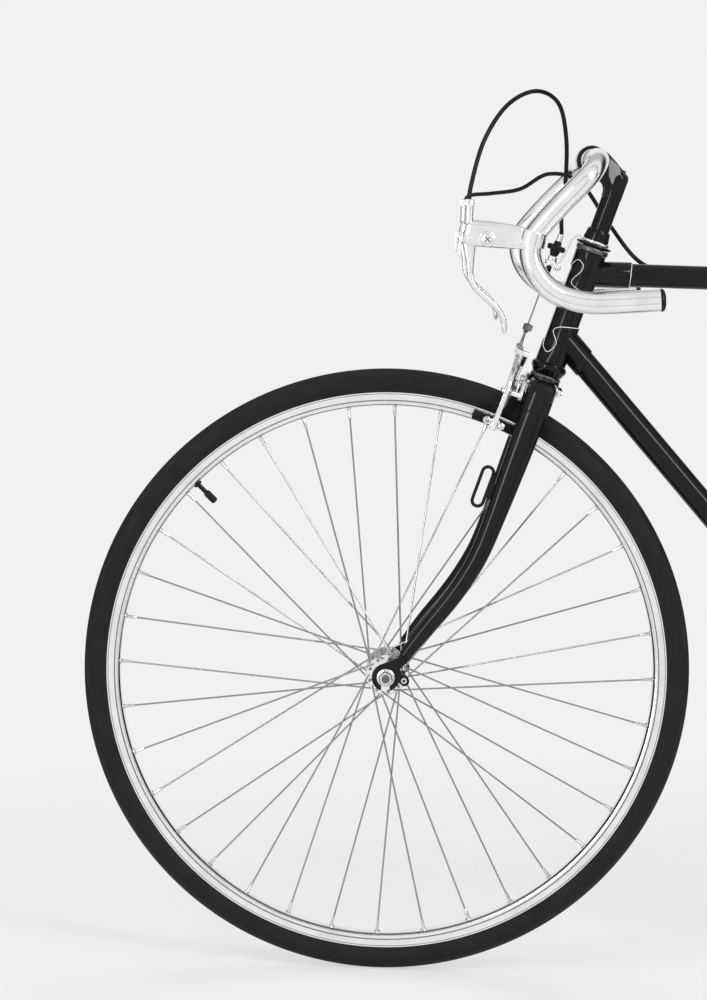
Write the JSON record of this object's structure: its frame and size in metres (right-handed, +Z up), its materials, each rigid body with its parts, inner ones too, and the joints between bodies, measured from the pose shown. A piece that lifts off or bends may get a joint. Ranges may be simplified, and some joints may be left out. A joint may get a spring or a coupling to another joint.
{
  "type": "road bicycle",
  "caption": "Lugged steel road bicycle with a level top tube, drop handlebars, centre-pull rim brakes, a chain drive of one gear and a padded saddle.",
  "frame": {"origin": "on the ground, midway between the two axles and in the bicycle's middle plane", "axes": "-X the way the bicycle faces, +Y towards its chain side, its right, +Z up"},
  "size_m": [1.7232, 0.4102, 1.0031],
  "materials": {
    "black_paint": "high gloss",
    "polished_alloy": "polished",
    "bright_steel": "bright plated",
    "dark_steel": "oiled, satin",
    "tyre_rubber": "matte",
    "housing_plastic": "satin",
    "saddle_leather": "satin grain",
    "pedal_steel": "satin"
  },
  "bodies": {
    "frame": {"seat_tube": "black_paint", "top_tube": "black_paint", "down_tube": "black_paint", "head_tube": "black_paint", "upper_head_lug": "black_paint", "lower_head_lug": "black_paint", "seat_lug": "black_paint", "bottom_bracket_shell": "black_paint", "left_chain_stay": "black_paint", "right_chain_stay": "black_paint", "left_seat_stay": "black_paint", "right_seat_stay": "black_paint", "brake_bridge": "black_paint", "upper_head_cup": "dark_steel", "lower_head_cup": "black_paint", "seat_post": "polished_alloy", "seat_clamp": "bright_steel", "saddle_rails": "bright_steel", "saddle": "saddle_leather", "seat_binder_bolt": "bright_steel", "rear_axle": "bright_steel", "rear_brake_plate": "polished_alloy", "rear_brake_cable": "housing_plastic", "chain": "dark_steel"},
    "fork": {"fork_crown": "black_paint", "left_fork_blade": "black_paint", "right_fork_blade": "black_paint", "headset_race": "black_paint", "headset_locknut": "black_paint", "cable_hanger": "polished_alloy", "stem": "black_paint", "handlebar": "polished_alloy", "left_lever_body": "polished_alloy", "right_lever_body": "polished_alloy", "front_axle": "bright_steel", "front_brake_plate": "polished_alloy", "front_brake_cable": "housing_plastic"},
    "front_wheel": {"front_tyre": "tyre_rubber", "front_rim": "polished_alloy", "front_hub": "bright_steel"},
    "rear_wheel": {"rear_tyre": "tyre_rubber", "rear_rim": "polished_alloy", "rear_hub": "bright_steel"},
    "freewheel": {"freewheel": "dark_steel"},
    "crank_set": {"crank_spindle": "dark_steel", "left_crank": "polished_alloy", "right_crank": "polished_alloy", "chainring": "polished_alloy"},
    "left_pedal": {"left_pedal": "pedal_steel"},
    "right_pedal": {"right_pedal": "pedal_steel"},
    "left_lever": {"left_lever_blade": "polished_alloy"},
    "right_lever": {"right_lever_blade": "polished_alloy"},
    "front_left_arm": {"front_left_arm": "polished_alloy"},
    "front_right_arm": {"front_right_arm": "polished_alloy"},
    "rear_left_arm": {"rear_left_arm": "polished_alloy"},
    "rear_right_arm": {"rear_right_arm": "polished_alloy"},
    "front_straddle": {"front_straddle": "bright_steel"},
    "rear_straddle": {"rear_straddle": "bright_steel"}
  },
  "joints": [
    {"name": "steering_turn", "type": "hinge", "parent": "frame", "child": "fork", "pos_m": [-0.45948, 0, 0.34483], "axis": [0.3098, 0, 0.9508], "range_deg": [-55, 55], "deforming": ["rear_brake_cable"]},
    {"name": "front_wheel_turn", "type": "hinge", "parent": "fork", "child": "front_wheel", "pos_m": [-0.5168, 0, 0.34483], "axis": [0, 1, 0], "continuous": true},
    {"name": "rear_wheel_turn", "type": "hinge", "parent": "frame", "child": "rear_wheel", "pos_m": [0.5168, 0, 0.34483], "axis": [0, 1, 0], "continuous": true},
    {"name": "crank_turn", "type": "hinge", "parent": "frame", "child": "crank_set", "pos_m": [0.08141, 0, 0.27563], "axis": [0, 1, 0], "continuous": true, "deforming": ["chain"]},
    {"name": "freewheel_turn", "type": "hinge", "parent": "frame", "child": "freewheel", "pos_m": [0.5168, 0, 0.34483], "axis": [0, 1, 0], "continuous": true},
    {"name": "left_pedal_turn", "type": "hinge", "parent": "crank_set", "child": "left_pedal", "pos_m": [0.25141, -0.121, 0.27563], "axis": [0, 1, 0], "continuous": true},
    {"name": "right_pedal_turn", "type": "hinge", "parent": "crank_set", "child": "right_pedal", "pos_m": [-0.08859, 0.121, 0.27563], "axis": [0, 1, 0], "continuous": true},
    {"name": "left_lever_pull", "type": "hinge", "parent": "fork", "child": "left_lever", "pos_m": [-0.4433, -0.19, 0.84079], "axis": [0, -1, 0], "range_deg": [0, 20], "stiffness_Nm_per_rad": 2, "springref_deg": -11.46},
    {"name": "right_lever_pull", "type": "hinge", "parent": "fork", "child": "right_lever", "pos_m": [-0.4433, 0.19, 0.84079], "axis": [0, -1, 0], "range_deg": [0, 20], "stiffness_Nm_per_rad": 2, "springref_deg": -11.46},
    {"name": "front_left_arm_turn", "type": "hinge", "parent": "fork", "child": "front_left_arm", "pos_m": [-0.35723, -0.032, 0.65859], "axis": [0.9508, 0, -0.3098], "range_deg": [0, 3.1]},
    {"name": "front_right_arm_turn", "type": "hinge", "parent": "fork", "child": "front_right_arm", "pos_m": [-0.35723, 0.032, 0.65859], "axis": [-0.9508, 0, 0.3098], "range_deg": [0, 3.1]},
    {"name": "front_straddle_lift", "type": "slide", "parent": "fork", "child": "front_straddle", "axis": [0.3098, 0, 0.9508], "range_m": [0, 0.0039]},
    {"name": "rear_left_arm_turn", "type": "hinge", "parent": "frame", "child": "rear_left_arm", "pos_m": [0.34488, -0.032, 0.65268], "axis": [0.8644, 0, 0.5028], "range_deg": [0, 2.8]},
    {"name": "rear_right_arm_turn", "type": "hinge", "parent": "frame", "child": "rear_right_arm", "pos_m": [0.34488, 0.032, 0.65268], "axis": [-0.8644, 0, -0.5028], "range_deg": [0, 2.8]},
    {"name": "rear_straddle_lift", "type": "slide", "parent": "frame", "child": "rear_straddle", "axis": [-0.5028, 0, 0.8644], "range_m": [0, 0.0039]}
  ],
  "couplings": [
    {"joint": "freewheel_turn", "follows": "crank_turn", "ratio": 2.5556},
    {"joint": "front_left_arm_turn", "follows": "left_lever_pull", "ratio": 0.154},
    {"joint": "front_right_arm_turn", "follows": "left_lever_pull", "ratio": 0.154},
    {"joint": "front_straddle_lift", "follows": "left_lever_pull", "m_per_rad": 0.0109},
    {"joint": "rear_left_arm_turn", "follows": "right_lever_pull", "ratio": 0.135},
    {"joint": "rear_right_arm_turn", "follows": "right_lever_pull", "ratio": 0.135},
    {"joint": "rear_straddle_lift", "follows": "right_lever_pull", "m_per_rad": 0.0098}
  ]
}
